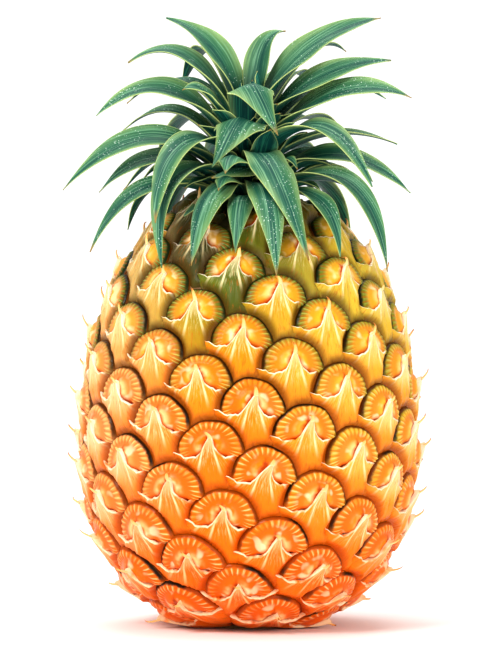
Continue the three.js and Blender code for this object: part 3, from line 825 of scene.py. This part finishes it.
# %% [markdown]
# ## The crown
# Each leaf is a thin, channelled blade that leaves the stem, arches over and droops to a point. Its
# centreline is the curve of a foot, a bend and a tip, the same numbers as the solid's, so the finer
# blade lies in the solid's place. Leaves at the sides are rolled so that they show their faces.

# %% Where the leaves go
STEM_BOTTOM, STEM_TOP, STEM_BOTTOM_RADIUS, STEM_TOP_RADIUS = 159.8, 203, 12.5, 3
LEAF_THICKNESS, LEAF_TIP_THICKNESS, LEAF_GAP, LEAF_CHANNEL = 1.1, 0.45, 0.4, 0.4
# turn, foot height, bend (out, up), tip (out, up), width, sweep, roll
LEAVES = [
    (-107, 199, (9, 224), (33, 231), 14, 0, -30),
    (152, 201, (8, 226), (15, 226), 12, -40, 0),
    (100, 198, (22, 226), (51, 231), 16, 0, 30),
    (-94, 193, (24, 229), (46, 214), 14, 0, -20),
    (126, 194, (30, 229), (46, 218), 13, 0, 0),
    (-147, 196, (28, 238), (48, 203), 13, 0, 0),
    (86, 192, (28, 214), (54, 215), 15, 0, 35),
    (-1, 190, (15, 224), (27, 187), 19, 25, 0),
    (-176, 191, (20, 216), (43, 206), 13, 0, 0),
    (-60, 187, (18, 209), (29, 204), 10, 0, -30),
    (-87, 185, (32, 218), (58, 194), 15, 0, -30),
    (77, 185, (36, 213), (63, 201), 15, 0, 35),
    (-9, 182, (17, 208), (27, 175), 22, -22, 0),
    (151, 188.5, (28, 222), (54, 203), 13, 0, 0),
    (-168, 185, (28, 218), (54, 197), 14, 0, 0),
    (119, 186.5, (32, 215), (60, 200), 13, 0, 0),
    (-126, 189, (30, 219), (58, 198), 13, 0, 0),
    (-106, 178.5, (28, 207), (50, 188), 11, 0, -15),
    (54, 180, (34, 204), (57, 168), 17, 0, 10),
    (98, 178, (32, 193), (57, 183), 13, 0, 5),
    (-83, 174, (40, 200), (71, 166), 15, 0, -35),
    (-54, 180, (32, 197), (58, 155), 16, 17, -10),
    (174, 178.5, (34, 206), (60, 180), 14, 0, 0),
    (140, 182, (36, 205), (62, 178), 14, 0, 0),
    (-145, 182, (36, 206), (62, 178), 14, 0, 0),
    (80, 172, (36, 188), (62, 165), 15, 0, 25),
    (3, 168.5, (17, 180), (26, 171), 15, -36, 0),
    (14, 177, (42, 191), (51, 141), 17, 12, 0),
    (-47, 172.5, (52, 184), (54, 138), 12, 10, -15),
    (-86, 169, (36, 188), (57, 165), 13, 0, -30),
    (-115, 172.5, (32, 189), (53, 165), 13, 0, -10),
    (-164, 172.5, (38, 195), (62, 165), 14, 0, 0),
    (152, 174.5, (38, 194), (62, 163), 14, 0, 0),
    (125, 171, (38, 190), (58, 168), 14, 0, 0),
    (-72, 164, (46, 178), (63, 143), 13, 0, -20),
    (62, 167, (50, 185), (59, 136), 14, 0, 15),
    (43, 164, (45, 171), (50, 142), 13, 0, 0),
    (-24, 166, (42, 176), (53, 139), 13, 0, 0),
    (-6, 162, (36, 171), (49, 144), 11, 0, 0),
    (11, 167, (46, 177), (54, 135), 14, 0, 0),
    (-54, 169, (22, 172), (30, 167), 8, 0, 0),
    (-40, 161.5, (26, 163), (38, 157), 9, 0, 0),
    (100, 166, (40, 178), (51, 150), 12, 0, 0),
    (137, 168, (46, 179), (58, 142), 13, 0, 0),
    (179, 167, (45, 179), (58, 140), 14, 0, 0),
    (-142, 169, (45, 180), (58, 140), 14, 0, 0),
    (-112, 165, (42, 177), (50, 150), 13, 0, 0),
]
print(len(LEAVES), "leaves")


# %% One leaf
LEAF_STATIONS, LEAF_COLUMNS = 44, 15
FRONT_LEAVES, ARCHED = 30, 2.4


def stem_radius(z):
    return np.interp(z, [STEM_BOTTOM, STEM_TOP], [STEM_BOTTOM_RADIUS, STEM_TOP_RADIUS])


def leaf_width(t):
    return (0.62 + 1.6 * t - 1.35 * t * t) * np.clip(1 - t ** 2.2, 0, 1) ** 0.9


def turned(vectors, axes, angles):
    c, s = np.cos(angles)[:, None], np.sin(angles)[:, None]
    along = np.sum(axes * vectors, axis=1)[:, None]
    return vectors * c + np.cross(axes, vectors) * s + axes * along * (1 - c)


def leaf_object(index, turn, foot, bend, tip, width, sweep, roll):
    own = np.random.default_rng(SEED + 100 + index)
    t = np.linspace(0, 1, LEAF_STATIONS) ** 0.92
    start = np.array([stem_radius(foot) + LEAF_GAP + LEAF_THICKNESS, foot])
    bend, tip = np.array(bend, float), np.array(tip, float)
    curve = np.outer((1 - t) ** 2, start) + np.outer(2 * t * (1 - t), bend) + np.outer(t * t, tip)
    slope = np.outer(2 * (1 - t), bend - start) + np.outer(2 * t, tip - bend)
    slope /= np.linalg.norm(slope, axis=1)[:, None]
    length = np.linalg.norm(np.diff(curve, axis=0), axis=1).sum()
    angle = np.radians(turn + sweep * t * t)
    out = np.stack([np.sin(angle), -np.cos(angle), 0 * t], 1)
    side = np.stack([np.cos(angle), np.sin(angle), 0 * t], 1)
    ahead = out * slope[:, :1]
    ahead[:, 2] = slope[:, 1]
    ahead += side * (2 * np.radians(sweep) * t * curve[:, 0] / length)[:, None]
    ahead /= np.linalg.norm(ahead, axis=1)[:, None]
    side -= ahead * np.sum(side * ahead, axis=1)[:, None]
    side /= np.linalg.norm(side, axis=1)[:, None]
    side = turned(side, ahead, np.radians(roll) * smooth_step(t, 0, 0.45))
    face = np.cross(ahead, side)
    centre = out * curve[:, :1]
    centre[:, 2] = curve[:, 1]
    half = np.maximum(width / 2 * leaf_width(t), 0.12 + 0.33 * (1 - t))
    lift = half * LEAF_CHANNEL * (1 - 0.4 * t)
    if abs(turn) < FRONT_LEAVES:
        lift = lift * (1 - ARCHED * smooth_step(t, 0.05, 0.4))
    across = np.sin(np.linspace(-np.pi / 2, np.pi / 2, LEAF_COLUMNS))
    wave = 0.25 * np.sin(t * own.uniform(9, 14) + own.uniform(0, 6)) * smooth_step(t, 0.1, 0.4)

    def layer(offset):
        bow = np.abs(across) ** 1.45
        rows = [centre[i] + np.outer(across * half[i], side[i])
                + np.outer(bow * (lift[i] + wave[i] * np.sign(across)) + offset[i], face[i])
                for i in range(LEAF_STATIONS)]
        return np.concatenate(rows)

    thick = (LEAF_THICKNESS * (1 - t) + LEAF_TIP_THICKNESS * t) / 2
    spread = 1 - 0.55 * np.abs(across) ** 3
    upper = layer(np.outer(thick, spread))
    under = layer(-np.outer(thick, spread))
    points = np.concatenate([upper, under]) * MM
    sheet = grid_faces(LEAF_STATIONS, LEAF_COLUMNS)
    count = LEAF_STATIONS * LEAF_COLUMNS
    faces = [f[::-1] for f in sheet] + [tuple(count + i for i in f) for f in sheet]
    rim = [r * LEAF_COLUMNS for r in range(LEAF_STATIONS)]
    other = [r * LEAF_COLUMNS + LEAF_COLUMNS - 1 for r in range(LEAF_STATIONS)]
    ends = list(range(LEAF_COLUMNS)), [count - LEAF_COLUMNS + c for c in range(LEAF_COLUMNS)]
    for path in (rim[::-1], other, ends[0], ends[1][::-1]):
        faces += [(a, b, count + b, count + a) for a, b in zip(path, path[1:])]
    grid_t, grid_across = np.meshgrid(t, across, indexing="ij")
    attributes = {"across": np.tile(grid_across.ravel(), 2), "along": np.tile(grid_t.ravel(), 2),
                  "under": np.repeat([0, 1], count), "own": np.full(2 * count, own.random()),
                  "reach": np.tile(np.outer(half, across).ravel(), 2)}
    return new_object(f"leaf_{index:02d}", mesh_from(f"leaf_{index:02d}", points, faces, attributes))


# %% [markdown]
# ### Leaf finish
# The upper face runs from deep blue-green along the channel to mid green, with a fine pale line along
# each margin. Parallel veins run the whole length, and tiny pale scales lie on it in patches. The
# underside is a darker teal, partly its own colour and partly painted shade, since it faces away from
# the light. About half of the tips have dried to brown.

# %% The green of the leaves
VEIN_LIGHT, VEIN_DARK, FOOT_SHADE_GREEN = (0.19, 0.40, 0.23), (0.012, 0.10, 0.070), (0.006, 0.060, 0.048)
UNDER_SHADE_DARK, UNDER_LIGHT = (0.006, 0.070, 0.062), (0.030, 0.20, 0.13)
SIDE_PALE, MARGIN_PALE = (0.46, 0.60, 0.22), (0.60, 0.68, 0.24)
SCALE_WHITE, DRY_BROWN = (0.72, 0.86, 0.74), (0.34, 0.20, 0.05)
SCALES_PER_METRE = 1000

blade = Finish("leaf_waxy", roughness=0.48, Specular_IOR_Level=0.22, Coat_Roughness=0.42)
across, along, tone, under = (blade.attribute(key) for key in ("across", "along", "own", "under"))
beside = blade.math("ABSOLUTE", across)
upper_face = blade.between(under, 1, 0)
# deep in the channel, lighter toward the margins, each leaf a little to one side
one_side = blade.math("MULTIPLY_ADD", tone, 0.8, -0.4)
mottle = blade.math("MULTIPLY_ADD", blade.noise(blade.place(), 60), 0.5, -0.25)
shade_at = blade.math("ADD", blade.math("ABSOLUTE", blade.math("ADD", across, one_side)), mottle)
blade.colour = blade.ramp(shade_at, [
    (0.0, (0.006, 0.066, 0.048)), (0.35, (0.024, 0.125, 0.068)), (0.7, (0.050, 0.17, 0.072)),
    (0.95, (0.12, 0.25, 0.09))])
# veins along the leaf
vein_place = blade.node("ShaderNodeCombineXYZ", (
    blade.attribute("reach"), blade.times(along, 0.8), blade.times(tone, 30.0))).outputs[0]
veins = blade.noise(vein_place, 1.7, 3, 0.7)
blade.paint(VEIN_LIGHT, blade.times(blade.between(veins, 0.5, 0.64), 0.65))
blade.paint(VEIN_DARK, blade.times(blade.between(veins, 0.46, 0.36), 0.6))
# painted shade: each leaf's foot, deep in the crown, is darkened
blade.paint(FOOT_SHADE_GREEN, blade.times(blade.between(along, 0.34, 0.08), 0.65))
# the underside: its own teal, darkened partly as painted shade
blade.paint(blade.mix(blade.between(veins, 0.46, 0.62), UNDER_SHADE_DARK, UNDER_LIGHT), under)
# pale sides and margins, scales in patches and dry tips
pale_side = blade.times(blade.between(beside, 0.55, 0.98), blade.patches(30, 0.40, 0.62))
blade.paint(SIDE_PALE, blade.times(pale_side, 0.4))
blade.paint(MARGIN_PALE, blade.times(blade.between(beside, 0.955, 0.995), 0.7))
scales = blade.node("ShaderNodeTexVoronoi", feature="F1")
blade.put(scales.inputs["Vector"], blade.place())
scales.inputs["Scale"].default_value = SCALES_PER_METRE
scale_share = blade.between(scales.outputs["Distance"], 0.26, 0.12)
scale_share = blade.times(blade.times(scale_share, blade.patches(75, 0.47, 0.58)), upper_face)
blade.paint(SCALE_WHITE, blade.times(scale_share, 0.7))
blade.paint(DRY_BROWN, blade.times(blade.between(along, 0.93, 1.0), blade.between(tone, 0.35, 0.6)))
blade.put(blade.shader.inputs["Coat Weight"], blade.times(upper_face, 0.12))
blade.use(blade.colour, normal=blade.bump(veins, 0.0005, 0.55))

# %% Make the leaves
leaf_objects = []
for number, row in enumerate(LEAVES, 1):
    leaf = leaf_object(number, *row)
    leaf.data.materials.append(blade.material)
    finish_piece(leaf, [f"crown_leaf_{number:02d}"])
    leaf_objects.append(leaf)
print("faces in the crown:", sum(len(leaf.data.polygons) for leaf in leaf_objects))

# %% [markdown]
# ### Small leaves at the crown's foot and heart
# Short, stiff leaves close the gaps between the big ones: a drooping collar on the fruit's shoulder,
# upright ones round the stem and a few that close over its top. They are made by the same function as
# the big leaves, on a spiral of golden turns. Each is tried at a few sizes and turns, and the try that
# cuts least into the high caps, the bracts and the other leaves stays. All are joined into one piece.

# %% Small leaves
COLLAR_LEAVES, UPRIGHT_LEAVES, HEART_LEAVES, GOLDEN_TURN = 18, 20, 8, 137.5
SMALL_LEAVES = COLLAR_LEAVES + UPRIGHT_LEAVES + HEART_LEAVES
SMALL_LEAF_LOWEST, SMALL_LEAF_RISE, HEART_LOWEST, HEART_RISE = 160.5, 0.75, 188, 1.9
SMALL_SHARES, SMALL_NUDGES = (1.0, 0.8, 0.6), (0, 7, -7, 14, -14)


def small_leaf(number, nudge, share):
    in_heart = number - COLLAR_LEAVES - UPRIGHT_LEAVES
    foot = SMALL_LEAF_LOWEST + SMALL_LEAF_RISE * number
    if in_heart >= 0:
        foot = HEART_LOWEST + HEART_RISE * in_heart
    reach = stem_radius(foot)
    bend, tip, width = (5, 11), (13, 13), 12
    if number < COLLAR_LEAVES:
        bend, tip, width = (20, 17), (31, 3), 13
    elif in_heart >= 0:
        bend, tip, width = (1.5, 7), (4 - 0.3 * in_heart - 0.6 * reach, 12), 8
    bend, tip = ((reach + share * out, foot + share * up) for out, up in (bend, tip))
    turn = (GOLDEN_TURN * number + nudge + 180) % 360 - 180
    return leaf_object(60 + number, turn, foot, bend, tip, width * share, 0, 0)


def tree_of(thing):
    mesh = thing.data
    return BVHTree.FromPolygons([v.co.copy() for v in mesh.vertices],
                                [tuple(p.vertices) for p in mesh.polygons])


def cuts(thing, others):
    """How much a leaf cuts into other pieces. A cut nearer its tip counts for more."""
    sheet = (LEAF_STATIONS - 1) * (LEAF_COLUMNS - 1)
    tree = tree_of(thing)
    return sum(face % sheet // (LEAF_COLUMNS - 1) for other in others for face, _ in tree.overlap(other))


placed = [tree_of(thing) for thing in [caps, bracts, *leaf_objects]]
small = []
for number in range(SMALL_LEAVES):
    best, fewest = None, None
    for share, nudge in [(s, n) for s in SMALL_SHARES for n in SMALL_NUDGES]:
        tried = small_leaf(number, nudge, share)
        count = cuts(tried, placed)
        if best is None or count < fewest:
            if best is not None:
                bpy.data.meshes.remove(best.data)
            best, fewest = tried, count
        else:
            bpy.data.meshes.remove(tried.data)
        if fewest == 0:
            break
    small.append(best)
    placed.append(tree_of(best))
offsets = np.cumsum([0] + [len(leaf.data.vertices) for leaf in small])
join_points = np.concatenate([points_of(leaf.data) for leaf in small])
join_faces = [tuple(offset + v for v in polygon.vertices)
              for leaf, offset in zip(small, offsets) for polygon in leaf.data.polygons]
join_values = {key: np.concatenate([values_of(leaf.data, key) for leaf in small])
               for key in ("across", "along", "under", "own", "reach")}
for leaf in small:
    bpy.data.objects.remove(leaf)
joined = mesh_from("crown_small_leaves", join_points, join_faces, join_values)
small_leaves = new_object("crown_small_leaves", joined)
small_leaves.data.materials.append(blade.material)
finish_piece(small_leaves, [])
print("small leaves:", SMALL_LEAVES)

# %% [markdown]
# ### The crown's stem
# The stem is only glimpsed between the leaf feet. It is a tapering cone with leaf scars wound round
# it, in a mottled dark green.

# %% Stem
STEM_SIDES, STEM_ROWS, SCAR_DEPTH = 48, 60, 0.5
stem_z = np.linspace(STEM_BOTTOM, STEM_TOP, STEM_ROWS)
stem_turns = np.linspace(0, 2 * np.pi, STEM_SIDES, endpoint=False)
turn_grid, z_grid = np.meshgrid(stem_turns, stem_z)
scars = np.abs(np.sin(4 * turn_grid + z_grid * 0.55)) * np.abs(np.sin(3 * turn_grid - z_grid * 0.45))
stem_r = stem_radius(z_grid) - SCAR_DEPTH * (1 - scars)
stem_rings = [ring(radii, stem_turns, z) for radii, z in zip(stem_r, stem_z)]
stem = new_object("crown_heart", mesh_from("crown_heart", *capped_rings(stem_rings, STEM_BOTTOM, STEM_TOP)))
stem_finish = Finish("stem_green", roughness=0.6)
stem_noise = stem_finish.noise(stem_finish.place(), 250)
stem.data.materials.append(stem_finish.use(
    stem_finish.ramp(stem_noise, [(0.3, (0.010, 0.045, 0.022)), (0.7, (0.05, 0.12, 0.04))]),
    normal=stem_finish.bump(stem_noise, 0.0006, 0.6)))
finish_piece(stem, ["crown_stem"])

# %% [markdown]
# ## Floor and light
# The drawing stands on bare white. A wide pale floor and three large soft lamps come close to it: a
# key from the upper left that makes the wax shine, a weaker fill from the right and a broad top light.

# %% Floor
FLOOR_REACH = 0.9
floor_mesh = mesh_from("floor", np.array([[-1, -1, 0], [1, -1, 0], [1, 1, 0], [-1, 1, 0]]) * FLOOR_REACH,
                       [(0, 1, 2, 3)], smooth=False)
floor = new_object("floor", floor_mesh)
floor_finish = Finish("floor_pale", roughness=0.9)
floor_finish.use((0.95, 0.95, 0.95, 1))
floor.data.materials.append(floor_finish.material)


# %% Lamps
ROOM_LIGHT = 0.6
LIT_HEIGHT = 0.11


def lamp(name, place, size, power, colour=(1, 1, 1)):
    data = bpy.data.lights.new(name, "AREA")
    data.size = size
    data.energy = power
    data.color = colour
    thing = new_object(name, data)
    thing.location = place
    towards = Vector((0, 0, LIT_HEIGHT)) - Vector(place)
    thing.rotation_euler = towards.to_track_quat("-Z", "Y").to_euler()


lamp("key", (-0.7, -0.9, 1.0), 0.5, 12, (1.0, 0.99, 0.97))
lamp("fill", (0.8, -1.1, 0.25), 1.0, 9)
lamp("top", (0.0, 0.3, 1.3), 1.0, 9)
world = bpy.data.worlds.new("studio")
world.use_nodes = True
backdrop = world.node_tree.nodes["Background"]
backdrop.inputs[0].default_value = (1, 1, 1, 1)
seen = world.node_tree.nodes.new("ShaderNodeLightPath")
strength = world.node_tree.nodes.new("ShaderNodeMapRange")
strength.inputs["To Min"].default_value = ROOM_LIGHT
strength.inputs["To Max"].default_value = 1.0
world.node_tree.links.new(seen.outputs["Is Camera Ray"], strength.inputs["Value"])
world.node_tree.links.new(strength.outputs[0], backdrop.inputs[1])
bpy.context.scene.world = world
bpy.context.scene.view_settings.view_transform = "Standard"
bpy.context.scene.view_settings.look = "Medium High Contrast"
